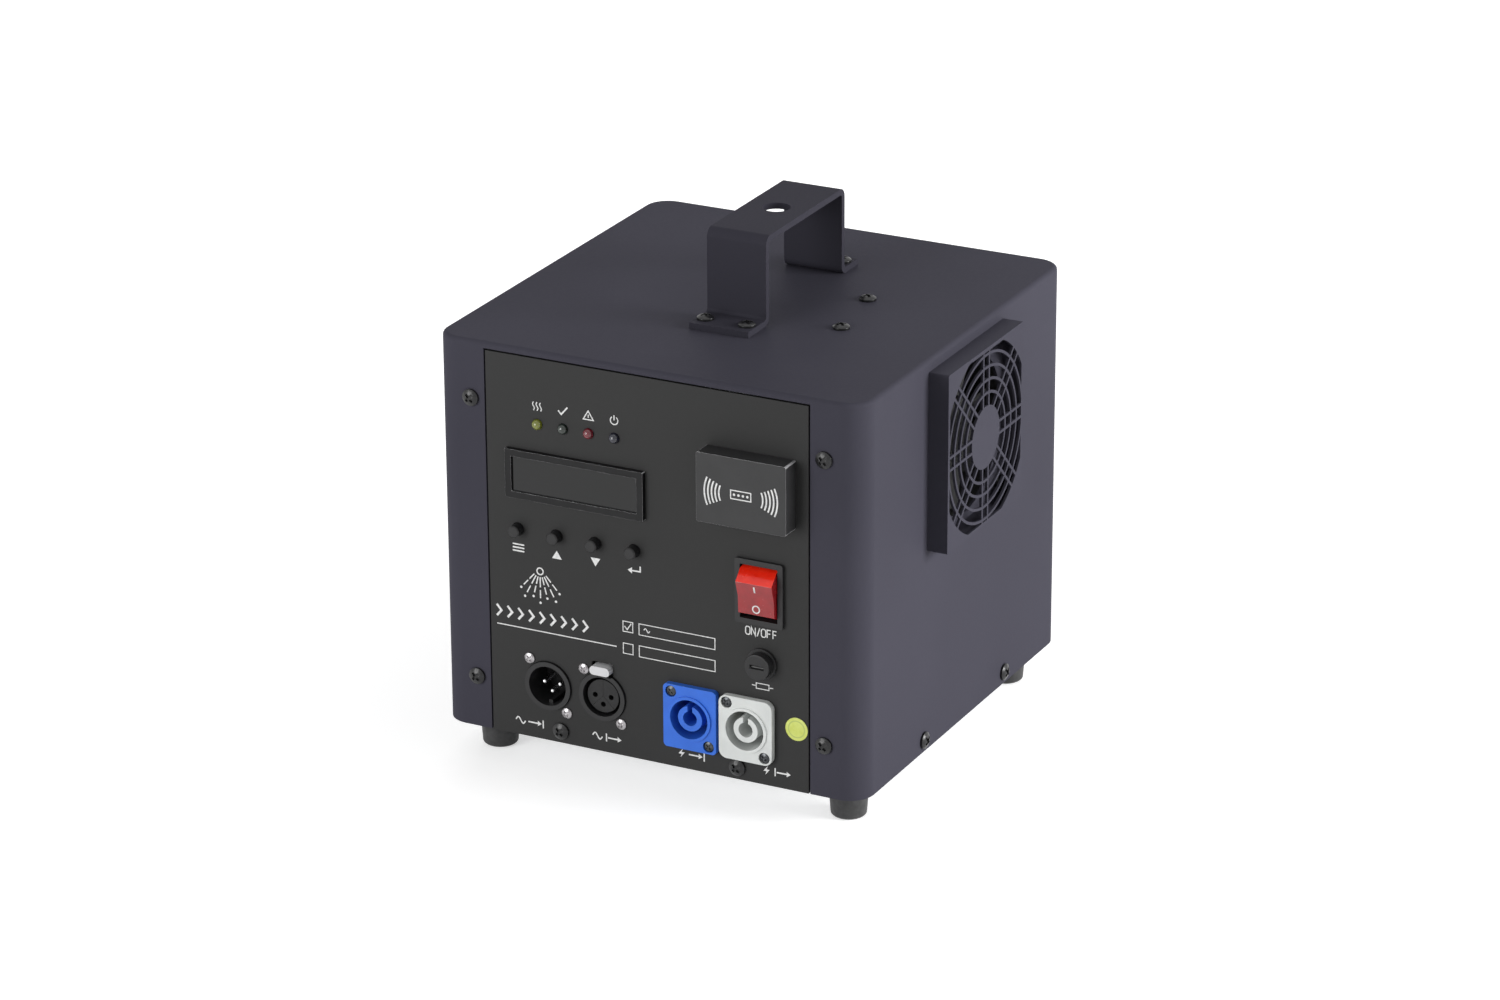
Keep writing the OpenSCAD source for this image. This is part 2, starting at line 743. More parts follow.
module fan_shroud() {
    color([0.3, 0.3, 0.34]) in_frame() on_right(fan_y, fan_z) {
        difference() {
            slab(shroud_w, shroud_h, shroud_out, 1);
            translate([0, 0, -1]) slab(shroud_w - 2 * shroud_t, shroud_h - 2 * shroud_t,
                                       shroud_out - shroud_t + 1, 0.3);
            translate([0, 0, shroud_out - 2 * shroud_t]) linear_extrude(3 * shroud_t) difference() {
                grille_window();
                grille_bars();
            }
        }
    }
}

// Quarter of a flat ring in the quadrant that starts at angle a
module quarter_ring(r_out, r_in, a) {
    rotate(a) intersection() {
        difference() {
            circle(r = r_out);
            circle(r = r_in);
        }
        square(r_out);
    }
}

// One half of the bracket's strip, seen from the side: X here is the distance behind its middle
module strap_half(foot_l) {
    bend_out = strap_bend_r + strap_t;
    leg = strap_span / 2;
    translate([0, strap_h - strap_t]) square([leg - bend_out, strap_t]);
    translate([leg - bend_out, strap_h - bend_out]) quarter_ring(bend_out, strap_bend_r, 0);
    translate([leg - strap_t, bend_out]) square([strap_t, strap_h - 2 * bend_out]);
    translate([leg + strap_bend_r, bend_out]) quarter_ring(bend_out, strap_bend_r, 180);
    translate([leg + strap_bend_r, 0]) square([foot_l - strap_bend_r, strap_t]);
}

module hanging_bracket() {
    color([0.27, 0.26, 0.31]) in_frame() difference() {
        translate([axis_x - strap_w / 2, axis_y, case_h]) rotate([90, 0, 90]) linear_extrude(strap_w) {
            strap_half(strap_rear_foot);
            mirror([1, 0]) strap_half(strap_front_foot);
        }
        translate([axis_x, axis_y, case_h + strap_h - 2 * strap_t])
            cylinder(r = clamp_hole_r, h = 3 * strap_t);
        translate([0, 0, case_h - 1]) at_strap_screws() cylinder(r = clear_r, h = strap_t + 2);
    }
}

module bracket_backing() {
    front = axis_y - strap_span / 2 - strap_front_foot;
    rear = axis_y + strap_span / 2 + strap_rear_foot;
    color([0.5, 0.51, 0.53]) in_frame() difference() {
        box_at(axis_x - strap_w / 2, axis_x + strap_w / 2, front, rear, top_in - backing_t, top_in);
        translate([0, 0, top_in - backing_t - 1]) at_strap_screws() cylinder(r = tap_r, h = backing_t + 2);
    }
}

module top_screws() {
    color([0.2, 0.2, 0.22]) in_frame() translate([0, 0, case_h]) {
        translate([0, 0, strap_t]) at_strap_screws() case_screw(strap_t + sheet + backing_t);
        at_extra_screws() case_screw(sheet + board_bracket_t);
    }
}

// Display: frame, window and circuit board
module display_bezel() {
    color([0.1, 0.1, 0.11]) in_frame() on_front(display_x, display_z) difference() {
        translate([0, 0, display_board_out]) slab(display_w, display_h, display_out - display_board_out, 0.5);
        translate([0, 0, display_board_out - 1])
            slab(display_w - 2 * display_rim, display_h - 2 * display_rim,
                 display_out - display_board_out + 2, 0.3);
        translate([0, 0, display_board_out - 1])
            slab(display_w - 2.4, display_h - 2.4, display_out - display_board_out, 0.3);
    }
}

module display_glass() {
    color([0.05, 0.07, 0.06]) in_frame() on_front(display_x, display_z)
        translate([0, 0, display_board_out])
            slab(display_w - 2.6, display_h - 2.6, display_out - display_board_out - 1.1, 0.2);
}

// Columns from a board to the back of the front panel, at the board's corners
module board_posts(w, h, from, to) {
    for (x = [-1, 1], y = [-1, 1])
        translate([x * w / 2, y * h / 2, from]) cylinder(r = 2, h = to - from);
}

module display_board() {
    board_h = display_h + 12;
    color([0.1, 0.35, 0.2]) in_frame() on_front(display_x, display_z) {
        translate([0, 0, display_board_out - board_t]) slab(display_w + 9, board_h, board_t, 1);
        board_posts(display_w + 4, board_h - 5, display_board_out, -sheet);
    }
}

module panel_board() {
    top = lamp_z + 6;
    bottom = button_z - 6;
    color([0.1, 0.35, 0.2]) in_frame() on_front(display_x, (top + bottom) / 2) difference() {
        union() {
            translate([0, 0, panel_board_out - board_t]) slab(display_w + 16, top - bottom, board_t, 1);
            board_posts(display_w + 7, top - bottom - 5, panel_board_out, -sheet);
        }
        for (i = [0:3], s = [-1, 1])
            translate([lamp_x + i * lamp_pitch + s * 1.27 - display_x,
                       lamp_z - (top + bottom) / 2, panel_board_out - board_t - 1])
                cylinder(r = 0.5, h = board_t + 2);
    }
}

module tact_switches() {
    color([0.15, 0.15, 0.16]) in_frame() for (i = [0:3])
        on_front(button_x + i * button_pitch, button_z) translate([0, 0, panel_board_out])
            difference() {
                slab(7, 7, tact_h, 0.4);
                translate([0, 0, 1]) cylinder(r = 1.8 + running_fit, h = tact_h);
            }
}

// Push button with a collar behind the panel and a stem in its switch
module push_button(i) {
    stem_from = panel_board_out + 1 + button_travel + 0.3;
    collar_to = -sheet - 0.1;
    color([0.09, 0.09, 0.1]) in_frame() on_front(button_x + i * button_pitch, button_z) {
        rotate_extrude() polygon([
            [0, stem_from], [1.8, stem_from], [1.8, collar_to - button_collar_t - 3],
            [button_r + 1, collar_to - button_collar_t], [button_r + 1, collar_to],
            [button_r, collar_to], [button_r, button_out - 0.5], [button_r - 0.5, button_out], [0, button_out]
        ]);
    }
}

module button_menu() {
    push_button(0);
}

module button_up() {
    push_button(1);
}

module button_down() {
    push_button(2);
}

module button_enter() {
    push_button(3);
}

// Round lamp with its two leads into the panel board
module lamp(i) {
    lead_to = panel_board_out - board_t - 1;
    in_frame() on_front(lamp_x + i * lamp_pitch, lamp_z) {
        translate([0, 0, lamp_out - lamp_r]) intersection() {
            sphere(r = lamp_r);
            cylinder(r = lamp_r, h = lamp_r);
        }
        translate([0, 0, -sheet - 1]) cylinder(r = lamp_r, h = sheet + 1 + lamp_out - lamp_r);
        translate([0, 0, -sheet - 1]) cylinder(r = lamp_r + 0.5, h = 1);
        for (s = [-1, 1])
            translate([s * 1.27, 0, lead_to]) cylinder(r = 0.3, h = -sheet - 0.5 - lead_to);
    }
}

module led_yellow() {
    color([0.85, 0.9, 0.3]) lamp(0);
}

module led_red() {
    color([0.75, 0.15, 0.25]) lamp(2);
}

module leds_clear() {
    color([0.5, 0.55, 0.55]) {
        lamp(1);
        lamp(3);
    }
}

module receiver_cover() {
    post_r = 2;
    board_z = receiver_board_lift + board_t;
    inner = receiver_out - receiver_wall;
    color([0.13, 0.13, 0.14]) in_frame() on_front(receiver_x, receiver_z) {
        difference() {
            slab(receiver_w, receiver_h, receiver_out, 1);
            translate([0, 0, -1])
                slab(receiver_w - 2 * receiver_wall, receiver_h - 2 * receiver_wall, inner + 1, 0.5);
        }
        for (x = [-1, 1], y = [-1, 1])
            translate([x * (receiver_w / 2 - 6), y * (receiver_h / 2 - 6), board_z])
                cylinder(r = post_r, h = inner - board_z + 0.5);
    }
}

module receiver_board() {
    color([0.1, 0.35, 0.2]) in_frame() on_front(receiver_x, receiver_z) {
        translate([0, 0, receiver_board_lift]) slab(receiver_w - 8, receiver_h - 8, board_t, 0.5);
        for (x = [-1, 1], y = [-1, 1])
            translate([x * (receiver_w / 2 - 6), y * (receiver_h / 2 - 6), 0])
                cylinder(r = 1.5, h = receiver_board_lift + 0.5);
        translate([-4, -4, receiver_board_lift]) cube([8, 8, board_t + 1.8]);
    }
}

// Rocker switch. Local Y is upwards and local Z points out of the panel.
module switch_housing() {
    slot_w = rocker_w + 2 * rocker_gap;
    body_w = slot_w + 2 * switch_wall;
    body_h = 2 * (rocker_slot + switch_wall / 2);
    color([0.08, 0.08, 0.09]) in_frame() on_front(switch_x, switch_z) difference() {
        union() {
            slab(switch_w, switch_h, switch_rim_t, 1.2);
            translate([0, 0, -switch_body_l]) slab(body_w, body_h, switch_body_l + 1, 0.5);
            for (x = [-1, 1], y = [-1, 1])
                translate([x * body_w / 4 - 0.4, y * body_h / 4 - 3, -switch_body_l - 8]) cube([0.8, 6, 9]);
        }
        translate([0, 0, -switch_body_l + switch_wall])
            slab(slot_w, 2 * rocker_slot, switch_body_l + switch_rim_t, 0.4);
        translate([0, 0, -rocker_pivot]) rotate([0, 90, 0])
            cylinder(r = trunnion_r + running_fit, h = body_w + 2, center = true);
    }
}

// Rocker in the local frame of its pivot: two shallow faces meet in a dish, and its ends slope back
module switch_rocker() {
    edge_y = rocker_half - 0.5;
    crest_y = rocker_half - 4.6;
    crest_z = rocker_pivot + 5.6;
    dish_z = rocker_pivot + 4.6;
    trunnion_l = rocker_w + 2 * (rocker_gap + switch_wall) - 0.4;
    color([0.85, 0.15, 0.1]) in_frame() on_front(switch_x, switch_z)
        translate([0, 0, -rocker_pivot]) rotate([rocker_tilt, 0, 0]) {
            rotate([90, 0, 90]) translate([0, 0, -rocker_w / 2]) linear_extrude(rocker_w)
                polygon([
                    [-rocker_half, -2], [-edge_y, rocker_pivot], [-crest_y, crest_z], [0, dish_z],
                    [crest_y, crest_z], [edge_y, rocker_pivot], [rocker_half, -2]
                ]);
            rotate([0, 90, 0]) cylinder(r = trunnion_r, h = trunnion_l, center = true);
        }
}

module fuse_holder() {
    nut_t = 3;
    color([0.08, 0.08, 0.09]) in_frame() on_front(fuse_x, fuse_z) difference() {
        union() {
            cylinder(r = fuse_collar_r, h = 1.5);
            translate([0, 0, -fuse_body_l]) cylinder(r = fuse_body_r, h = fuse_body_l + 1);
            translate([0, 0, -sheet - nut_t]) cylinder(r = fuse_collar_r + 1, h = nut_t, $fn = 6);
        }
        translate([0, 0, -fuse_body_l + 2]) cylinder(r = fuse_bore_r, h = fuse_body_l + 4);
    }
}

module fuse_cap() {
    skirt_from = -6;
    color([0.1, 0.1, 0.11]) in_frame() on_front(fuse_x, fuse_z) difference() {
        union() {
            translate([0, 0, 1.6]) cylinder(r = fuse_cap_r, h = fuse_cap_out - 1.6);
            translate([0, 0, skirt_from]) cylinder(r = fuse_bore_r - running_fit, h = 2 - skirt_from);
        }
        translate([-fuse_cap_r * 0.55, -0.75, fuse_cap_out - 1.4]) cube([fuse_cap_r * 1.1, 1.5, 2]);
        translate([0, 0, skirt_from - 1]) cylinder(r = fuse_tube_r, h = 4);
    }
}

module fuse_tube() {
    fuse_l = 20;
    fuse_to = -3;
    color([0.8, 0.82, 0.85]) in_frame() on_front(fuse_x, fuse_z)
        translate([0, 0, fuse_to - fuse_l]) cylinder(r = fuse_tube_r, h = fuse_l);
}

// Signal sockets, fixed from behind the panel: only their rings come through it
module signal_shell() {
    flange_back = 2;
    difference() {
        union() {
            translate([0, 0, -sheet - flange_back]) slab(socket_w - 0.8, socket_h, flange_back, 2);
            translate([0, 0, -socket_body_l])
                cylinder(r = signal_ring_r, h = socket_body_l + signal_ring_out);
        }
        for (s = [-1, 1])
            translate([s * socket_screw_dx / 2, -s * socket_screw_dz / 2, -sheet - flange_back - 1])
                cylinder(r = socket_thread_r + thread_gap, h = flange_back + 2);
        translate([0, 0, -signal_depth]) cylinder(r = signal_bore_r, h = socket_body_l);
    }
}

// Places of the three signal contacts
module at_signal_contacts() {
    for (a = [0, 180, 270]) translate([signal_pin_circle * cos(a), signal_pin_circle * sin(a), 0]) children();
}

module signal_in_socket() {
    color([0.09, 0.09, 0.1]) in_frame() on_front(signal_in_x, signal_z) {
        difference() {
            signal_shell();
            at_signal_contacts() translate([0, 0, -socket_body_l - 1])
                cylinder(r = signal_pin_r, h = socket_body_l);
        }
        translate([-1, -signal_bore_r - 0.5, -signal_depth]) cube([2, 2.2, signal_depth - 2]);
    }
}

module signal_in_pins() {
    color([0.8, 0.8, 0.82]) in_frame() on_front(signal_in_x, signal_z) at_signal_contacts() {
        translate([0, 0, -socket_body_l - 4]) cylinder(r = signal_pin_r, h = socket_body_l);
        translate([0, 0, -4]) sphere(r = signal_pin_r);
    }
}

module signal_out_socket() {
    color([0.09, 0.09, 0.1]) in_frame() on_front(signal_out_x, signal_z) difference() {
        signal_shell();
        translate([0, latch_z, -sheet - 6])
            slab(latch_w + 0.8, latch_h + 2 * latch_travel + 0.8, sheet + 6 + signal_ring_out + 1, 1.2);
    }
}

// Round insert of the output socket: three sectors, each with a hole for one pin of the plug
module signal_out_insert() {
    insert_r = signal_bore_r - 1.6;
    insert_l = signal_depth - 0.4;
    seam = 0.1;
    color([0.06, 0.06, 0.07]) in_frame() on_front(signal_out_x, signal_z) difference() {
        translate([0, 0, -signal_depth]) cylinder(r = insert_r, h = insert_l);
        at_signal_contacts() translate([0, 0, -signal_depth + 2])
            cylinder(r = signal_pin_r + 0.1, h = signal_depth);
        for (a = [90, 225, 315])
            rotate([0, 0, a]) translate([0, -seam / 2, -signal_depth - 1])
                cube([insert_r + 1, seam, signal_depth + 2]);
    }
}

module signal_out_latch() {
    latch_out = 3.2;
    latch_in = 3.3;
    color([0.85, 0.86, 0.88]) in_frame() on_front(signal_out_x, signal_z + latch_z)
        translate([0, 0, -latch_in]) slab(latch_w, latch_h, latch_in + latch_out, latch_h / 2 - 0.01);
}

// Screws of all four sockets: the signal sockets' lie on the panel, the power sockets' in their flanges
module socket_screws() {
    head = 1.3;
    color([0.5, 0.5, 0.52]) in_frame() {
        for (x = [signal_in_x, signal_out_x])
            at_socket_screws(x, signal_z) pan_screw(socket_head_r, head, socket_thread_r, 6);
        for (x = [power_in_x, power_out_x])
            at_socket_screws(x, power_z) translate([0, 0, power_flange_t - power_sink])
                pan_screw(socket_head_r, head, socket_thread_r, 7);
    }
}

// Power sockets, fixed from in front: square flange, round well and keyed core
module power_socket(x, tint, flange_corner_r) {
    collar_r = power_well_r + 1.4;
    well_depth = 15;
    color(tint) in_frame() on_front(x, power_z) difference() {
        union() {
            slab(socket_w, socket_h, power_flange_t, flange_corner_r);
            cylinder(r = collar_r, h = power_flange_t + 0.8);
            translate([0, 0, -socket_body_l]) cylinder(r = power_body_r, h = socket_body_l + 1);
        }
        difference() {
            translate([0, 0, -well_depth]) cylinder(r = power_well_r, h = well_depth + power_flange_t + 2);
            translate([0, 0, -well_depth - 1])
                cylinder(r = power_core_r, h = well_depth + power_flange_t + 0.6);
        }
        translate([0, 0, -well_depth]) cylinder(r = power_core_r - 2.6, h = well_depth + power_flange_t + 1);
        translate([-1.2, 0, -well_depth])
            cube([2.4, power_core_r + 1, well_depth + power_flange_t + 1]);
        for (a = [90:120:330])
            rotate([0, 0, a]) translate([power_blade_r - 0.5, -2, -socket_body_l - 1])
                cube([1, 4, socket_body_l]);
        for (s = [-1, 1])
            translate([s * socket_screw_dx / 2, -s * socket_screw_dz / 2, -1]) {
                cylinder(r = socket_thread_r + hole_gap, h = power_flange_t + 2);
                translate([0, 0, 1 + power_flange_t - power_sink]) cylinder(r = socket_head_r + 0.15, h = 3);
            }
    }
}

module power_in_socket() {
    power_socket(power_in_x, [0.3, 0.55, 0.9], 2);
}

module power_out_socket() {
    power_socket(power_out_x, [0.87, 0.88, 0.88], 4);
}

module power_contacts() {
    color([0.8, 0.72, 0.5]) in_frame() for (x = [power_in_x, power_out_x])
        on_front(x, power_z) for (a = [90:120:330])
            rotate([0, 0, a]) translate([power_blade_r - 0.4, -1.9, -socket_body_l - 6])
                cube([0.8, 3.8, 14]);
}

module inspection_sticker() {
    sticker_r = 5.6;
    color([0.9, 0.97, 0.5]) in_frame() on_front(sticker_x, sticker_z) cylinder(r = sticker_r, h = 0.3);
}

// Hopper: a trough whose floor slopes down from the filler opening to the feed tube
module hopper_outline(t) {
    throat = 8 - t;
    mouth_low = door_z - filler_h / 2 - 2 + t;
    mouth_high = top_in - 2 - t;
    polygon([
        [axis_y - throat, hopper_floor], [axis_y + throat, hopper_floor],
        [wall_y - 16, mouth_low], [wall_y, mouth_low], [wall_y, mouth_high],
        [axis_y - 30 + t, mouth_high], [axis_y - 30 + t, hopper_floor + 28]
    ]);
}

module hopper() {
    color([0.62, 0.64, 0.66]) in_frame() translate([hopper_x, 0, 0]) rotate([90, 0, 90]) difference() {
        linear_extrude(hopper_w) hopper_outline(0);
        translate([0, 0, hopper_wall])
            linear_extrude(hopper_w - 2 * hopper_wall) hopper_outline(hopper_wall);
        translate([axis_y - 8 + hopper_wall, hopper_floor - 1, hopper_wall])
            cube([16 - 2 * hopper_wall, 2, hopper_w - 2 * hopper_wall]);
        translate([wall_y - hopper_wall - 1, door_z - filler_h / 2, (hopper_w - filler_w) / 2])
            cube([hopper_wall + 2, filler_h, filler_w]);
    }
}

// Filler door and its hinge, on the rear panel. Local Z points out, local Y upwards.
module filler_door() {
    color([0.24, 0.24, 0.26]) in_frame() on_rear(door_x, door_z) difference() {
        union() {
            translate([0, 0, door_gap]) slab(door_w, door_h, door_t, 2);
            translate([-8, door_h / 2 - 1.5, door_gap]) cube([16, 1.5, 5]);
            translate([-door_w / 4, -hinge_drop, door_gap])
                cube([door_w / 2, hinge_drop - door_h / 2 + 2, door_t]);
            translate([-door_w / 4, -hinge_drop, door_gap + door_knuckle_r]) rotate([0, 90, 0])
                cylinder(r = door_knuckle_r, h = door_w / 2);
        }
        translate([-door_w, -hinge_drop, door_gap + door_knuckle_r]) rotate([0, 90, 0])
            cylinder(r = door_pin_r + running_fit, h = 2 * door_w);
    }
}

module door_hinge() {
    knuckle_l = 8;
    side_gap = 0.3;
    inner = door_w / 4 + side_gap;
    color([0.55, 0.55, 0.57]) in_frame() on_rear(door_x, door_z) {
        translate([-inner - knuckle_l, -hinge_drop, door_gap + door_knuckle_r]) rotate([0, 90, 0])
            cylinder(r = door_pin_r, h = 2 * (inner + knuckle_l));
        for (s = [-1, 1]) translate([s * (inner + knuckle_l / 2), -hinge_drop, 0]) {
            translate([0, 0, door_gap + door_knuckle_r]) rotate([0, 90, 0])
                cylinder(r = door_knuckle_r, h = knuckle_l, center = true);
            box_at(-knuckle_l / 2, knuckle_l / 2, -10, 0, 0, 1.2);
            box_at(-knuckle_l / 2, knuckle_l / 2, -door_knuckle_r, 0, 0, door_gap + door_knuckle_r);
        }
    }
}

// Feed tube with its intake under the hopper and its spout into the mixing head
module feed_tube() {
    tube_from = motor_x + 10;
    tube_to = axis_x + 14;
    spout_r = 8;
    intake_x = hopper_x + 4;
    intake_w = hopper_w - 8;
    color([0.66, 0.67, 0.7]) in_frame() difference() {
        union() {
            translate([tube_from, axis_y, feed_z]) rotate([0, 90, 0])
                cylinder(r = feed_tube_r, h = tube_to - tube_from);
            translate([axis_x, axis_y, head_top]) cylinder(r = spout_r, h = feed_z - head_top);
            box_at(intake_x, intake_x + intake_w, axis_y - 8, axis_y + 8, feed_z, hopper_floor);
        }
        translate([tube_from - 1, axis_y, feed_z]) rotate([0, 90, 0])
            cylinder(r = feed_bore_r, h = tube_to - tube_from - 1);
        translate([axis_x, axis_y, head_top - 1])
            cylinder(r = spout_r - 2, h = feed_z - head_top + 1);
        box_at(intake_x + 2, intake_x + intake_w - 2, axis_y - 6, axis_y + 6, feed_z, hopper_floor + 1);
    }
}

// Feed screw: its core and flight turn together as one twisted profile
module feed_screw() {
    screw_from = motor_x + 12;
    screw_l = axis_x + 8 - screw_from;
    core_pts = [for (a = [40:56:320]) screw_core_r * [cos(a), sin(a)]];
    color([0.6, 0.61, 0.64]) in_frame() translate([screw_from, axis_y, feed_z]) rotate([0, 90, 0])
        linear_extrude(screw_l, twist = 360 * flight_turns, slices = 12 * flight_turns, $fn = 6)
            polygon(concat(core_pts, [[flight_r, -0.8], [flight_r, 0.8]]));
}

module feed_shaft() {
    coupling_from = motor_x + motor_bracket_t + 2;
    screw_from = motor_x + 12;
    color([0.75, 0.76, 0.78]) in_frame() translate([0, axis_y, feed_z]) {
        translate([motor_x - 6, 0, 0]) rotate([0, 90, 0])
            cylinder(r = axle_r, h = screw_from - motor_x + 6);
        translate([coupling_from, 0, 0]) rotate([0, 90, 0])
            cylinder(r = feed_bore_r - 0.8, h = screw_from - coupling_from);
    }
}

module feed_motor() {
    gearbox_l = 16;
    color([0.7, 0.7, 0.72]) in_frame() translate([motor_x, axis_y, feed_z]) rotate([0, -90, 0])
        difference() {
            union() {
                cylinder(r = motor_r, h = gearbox_l);
                cylinder(r = motor_r - 1.5, h = motor_l);
            }
            translate([0, 0, -1]) cylinder(r = axle_r + running_fit, h = 8);
        }
}

module motor_bracket() {
    bracket_half = motor_r + 1;
    bracket_foot = 18;
    color([0.5, 0.51, 0.53]) in_frame() difference() {
        union() {
            box_at(motor_x, motor_x + motor_bracket_t, axis_y - bracket_half, axis_y + bracket_half,
                   base_t, feed_z + bracket_half);
            box_at(motor_x, motor_x + bracket_foot, axis_y - bracket_half, axis_y + bracket_half,
                   base_t, base_t + motor_bracket_t);
        }
        translate([motor_x - 1, axis_y, feed_z]) rotate([0, 90, 0])
            cylinder(r = axle_r + 2, h = motor_bracket_t + 2);
    }
}

module mixing_head() {
    socket_l = 4;
    duct_wall = 2;
    color([0.72, 0.72, 0.74]) in_frame() difference() {
        translate([axis_x, axis_y, shield_top]) slab(head_side, head_side, mix_h, 2);
        translate([axis_x, axis_y, shield_top - 1]) cylinder(r = outlet_r, h = mix_h - 4);
        translate([axis_x, axis_y, shield_top - 1]) cylinder(r = tube_r, h = socket_l + 1);
        translate([axis_x, axis_y, shield_top]) cylinder(r = 6, h = mix_h + 1);
        box_at(axis_x - outlet_r, axis_x + outlet_r, axis_y, axis_y + head_side,
               throat_z + duct_wall + 4, throat_z + throat_h - duct_wall - 2);
    }
}

module heater_tube() {
    color([0.55, 0.53, 0.5]) in_frame() translate([axis_x, axis_y, -outlet_drop])
        ring(tube_r, outlet_r, outlet_drop + shield_top + 4);
}

module heater_core() {
    end_t = 6;
    core_r = tube_r + 0.1;
    color([0.85, 0.8, 0.7]) in_frame() translate([axis_x, axis_y, base_t]) {
        ring(shield_r - 0.1, core_r, end_t);
        translate([0, 0, end_t]) ring(core_r + heater_t, core_r, shield_h - 2 * end_t);
        translate([0, 0, shield_h - end_t]) ring(shield_r - 0.1, core_r, end_t);
    }
}

module heat_shield() {
    color([0.68, 0.69, 0.7]) in_frame() translate([axis_x, axis_y, base_t])
        ring(shield_r + shield_t, shield_r, shield_h);
}

module outlet_flange() {
    collar_r = tube_r + 4;
    color([0.45, 0.44, 0.43]) in_frame() difference() {
        translate([axis_x, axis_y, 0]) union() {
            translate([0, 0, -outlet_flange_t]) cylinder(r = outlet_flange_r, h = outlet_flange_t);
            translate([0, 0, -outlet_drop]) cylinder(r = collar_r, h = outlet_drop);
        }
        translate([axis_x, axis_y, -outlet_drop - 1]) cylinder(r = tube_r + 0.1, h = outlet_drop + 2);
        at_outlet_screws() translate([0, 0, -outlet_flange_t - 1])
            cylinder(r = clear_r, h = outlet_flange_t + 2);
    }
}

// Blower behind the mixing head. Its axis runs along X and its throat points to the front.
module blower_housing() {
    x0 = axis_x - blower_t / 2;
    x1 = axis_x + blower_t / 2;
    front = axis_y + head_side / 2;
    foot_w = 8;
    color([0.11, 0.11, 0.12]) in_frame() {
        difference() {
            union() {
                translate([x0, blower_y, blower_z]) rotate([0, 90, 0])
                    cylinder(r = blower_r, h = blower_t);
                box_at(x0, x1, front, blower_y, throat_z, throat_z + throat_h);
            }
            translate([x0 + blower_wall, blower_y, blower_z]) rotate([0, 90, 0])
                cylinder(r = blower_r - blower_wall, h = blower_t - 2 * blower_wall);
            box_at(x0 + blower_wall, x1 - blower_wall, front - 1, blower_y,
                   throat_z + blower_wall, throat_z + throat_h - blower_wall);
            translate([axis_x, blower_y, blower_z]) rotate([0, 90, 0])
                cylinder(r = blower_inlet_r, h = blower_t);
        }
        translate([x0, blower_y, blower_z]) rotate([0, 90, 0]) cylinder(r = axle_r, h = blower_t - 6);
        for (y = [-1, 1])
            translate([0, blower_y + y * 18, 0]) difference() {
                box_at(x0, x1, -foot_w / 2, foot_w / 2, base_t, blower_z);
                translate([x0 - 1, -y * 18, blower_z]) rotate([0, 90, 0])
                    cylinder(r = blower_r - 1, h = blower_t + 2);
            }
    }
}

module blower_impeller() {
    wheel_from = axis_x - blower_t / 2 + blower_wall + 1;
    wheel_w = blower_t - 2 * blower_wall - 2;
    hub_r = 12;
    color([0.15, 0.15, 0.16]) in_frame() translate([wheel_from, blower_y, blower_z]) rotate([0, 90, 0])
        difference() {
            union() {
                cylinder(r = wheel_r, h = 2);
                cylinder(r = hub_r, h = wheel_w * 0.6);
                for (i = [0:wheel_blades - 1]) rotate([0, 0, i * 360 / wheel_blades])
                    translate([wheel_r - 7, 0, 0]) rotate([0, 0, 35])
                        translate([0, -0.6, 0]) cube([7, 1.2, wheel_w]);
                translate([0, 0, wheel_w - 2]) ring(wheel_r, wheel_r - 4, 2);
            }
            translate([0, 0, -1]) cylinder(r = axle_r + running_fit, h = wheel_w + 2);
        }
}

// Cooling fan inside the right side. Local Z points out of the casing.
module on_fan() {
    on_right(fan_y, fan_z) translate([0, 0, -sheet - fan_t]) children();
}

module fan_frame() {
    lug_t = 4;
    color([0.1, 0.1, 0.11]) in_frame() on_fan() {
        difference() {
            slab(fan_side, fan_side, fan_t, 4);
            translate([0, 0, -1]) cylinder(r = fan_bore_r, h = fan_t + 2);
            for (y = [-1, 1], z = [-1, 1])
                translate([y * fan_screw_pitch / 2, z * fan_screw_pitch / 2, -1])
                    cylinder(r = tap_r, h = fan_t + 2);
            for (a = [0:90:270]) rotate([0, 0, a]) translate([-fan_side / 4, fan_bore_r + 0.9, lug_t])
                cube([fan_side / 2, fan_side, fan_t - 2 * lug_t]);
        }
        cylinder(r = fan_hub_r - 1, h = fan_back_t);
        for (a = [45:90:315]) rotate([0, 0, a])
            translate([fan_hub_r - 2, -1.5, 0]) cube([fan_bore_r - fan_hub_r + 3, 3, fan_back_t]);
        cylinder(r = fan_pin_r, h = fan_back_t + fan_hub_depth - 2);
    }
}

module fan_rotor() {
    tip_r = fan_bore_r - fan_tip_gap;
    color([0.14, 0.14, 0.15]) in_frame() on_fan() translate([0, 0, fan_back_t + 1]) difference() {
        union() {
            cylinder(r = fan_hub_r, h = fan_hub_depth);
            intersection() {
                cylinder(r = tip_r, h = fan_hub_depth);
                for (i = [0:fan_blades - 1]) rotate([0, 0, i * 360 / fan_blades])
                    translate([fan_hub_r - 2, 0, fan_hub_depth / 2]) rotate([42, 0, 0])
                        translate([0, -13, -0.8]) cube([tip_r, 26, 1.6]);
            }
        }
        translate([0, 0, -1]) cylinder(r = fan_pin_r + running_fit, h = fan_hub_depth - 1);
    }
}

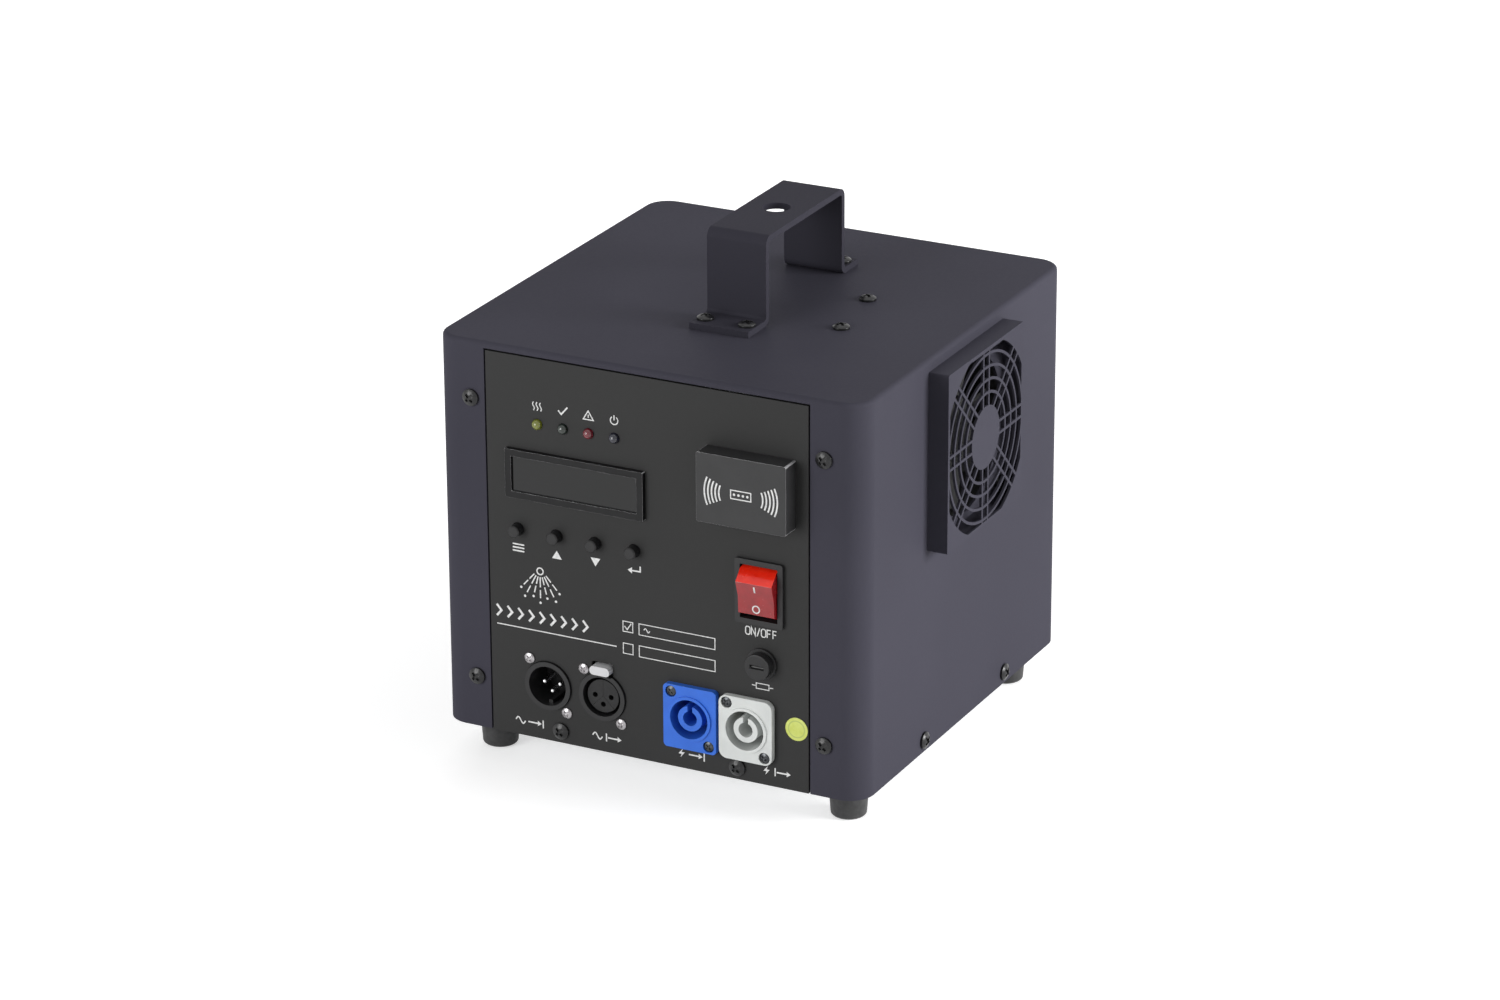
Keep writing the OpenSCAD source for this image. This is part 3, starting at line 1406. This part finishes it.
module power_supply() {
    x0 = supply_x;
    y0 = -55;
    terminal_l = 14;
    color([0.72, 0.73, 0.74]) in_frame() difference() {
        box_at(x0, x0 + supply_t, y0, y0 + supply_l, base_t, base_t + supply_h);
        box_at(x0 + 4, x0 + supply_t + 1, y0 - 1, y0 + terminal_l, base_t + 4, base_t + supply_h - 4);
        for (i = [0:6], k = [0:3])
            translate([x0 + supply_t - 1.5, y0 + 26 + i * 10, base_t + 16 + k * 16]) rotate([0, 90, 0])
                cylinder(r = 2.4, h = 3);
    }
}

module board_bracket() {
    low = feed_z + 2;
    color([0.5, 0.51, 0.53]) in_frame() difference() {
        union() {
            box_at(bracket_x, bracket_x + board_bracket_t, -board_half - 2, board_half + 2, low, top_in);
            box_at(bracket_x, bracket_x + 22, -34, 32, top_in - board_bracket_t, top_in);
        }
        translate([0, 0, top_in - board_bracket_t - 1]) at_extra_screws()
            cylinder(r = tap_r, h = board_bracket_t + 2);
    }
}

module control_board() {
    low = feed_z + 4;
    high = top_in - board_bracket_t - 4;
    x0 = bracket_x + board_bracket_t + 5;
    parts_x = x0 + board_t;
    tier = (high - low) / 9;
    color([0.1, 0.32, 0.2]) in_frame() {
        box_at(x0, x0 + board_t, -board_half, board_half, low, high);
        for (y = [4 - board_half, board_half - 4], z = [low + 4, high - 4])
            translate([bracket_x + board_bracket_t, y, z]) rotate([0, 90, 0]) cylinder(r = 2.5, h = 5);
        box_at(parts_x, parts_x + 14, -42, -18, low + tier, low + 4 * tier);
        box_at(parts_x, parts_x + 10, 2, 22, low + 4 * tier, low + 6 * tier);
        for (y = [6, 20, 34])
            translate([parts_x, y, low + 2 * tier]) rotate([0, 90, 0]) cylinder(r = 5, h = 15);
        for (i = [0:5])
            box_at(parts_x, parts_x + 12, -40 + i * 5, -38 + i * 5, low + 5 * tier, low + 8 * tier);
        box_at(parts_x, parts_x + 3, -40, -13, low + 5 * tier, low + 8 * tier);
    }
}

cover_shell();
front_panel();
rear_panel();
base_tray();
fan_shroud();
hanging_bracket();
bracket_backing();
top_screws();
case_screws();
rubber_feet();
base_screws();
display_bezel();
display_glass();
display_board();
panel_board();
tact_switches();
button_menu();
button_up();
button_down();
button_enter();
led_yellow();
led_red();
leds_clear();
receiver_cover();
receiver_board();
switch_housing();
switch_rocker();
fuse_holder();
fuse_cap();
fuse_tube();
signal_in_socket();
signal_in_pins();
signal_out_socket();
signal_out_insert();
signal_out_latch();
power_in_socket();
power_out_socket();
power_contacts();
socket_screws();
inspection_sticker();
hopper();
filler_door();
door_hinge();
feed_tube();
feed_screw();
feed_shaft();
feed_motor();
motor_bracket();
mixing_head();
heater_tube();
heater_core();
heat_shield();
outlet_flange();
blower_housing();
blower_impeller();
fan_frame();
fan_rotor();
power_supply();
control_board();
board_bracket();
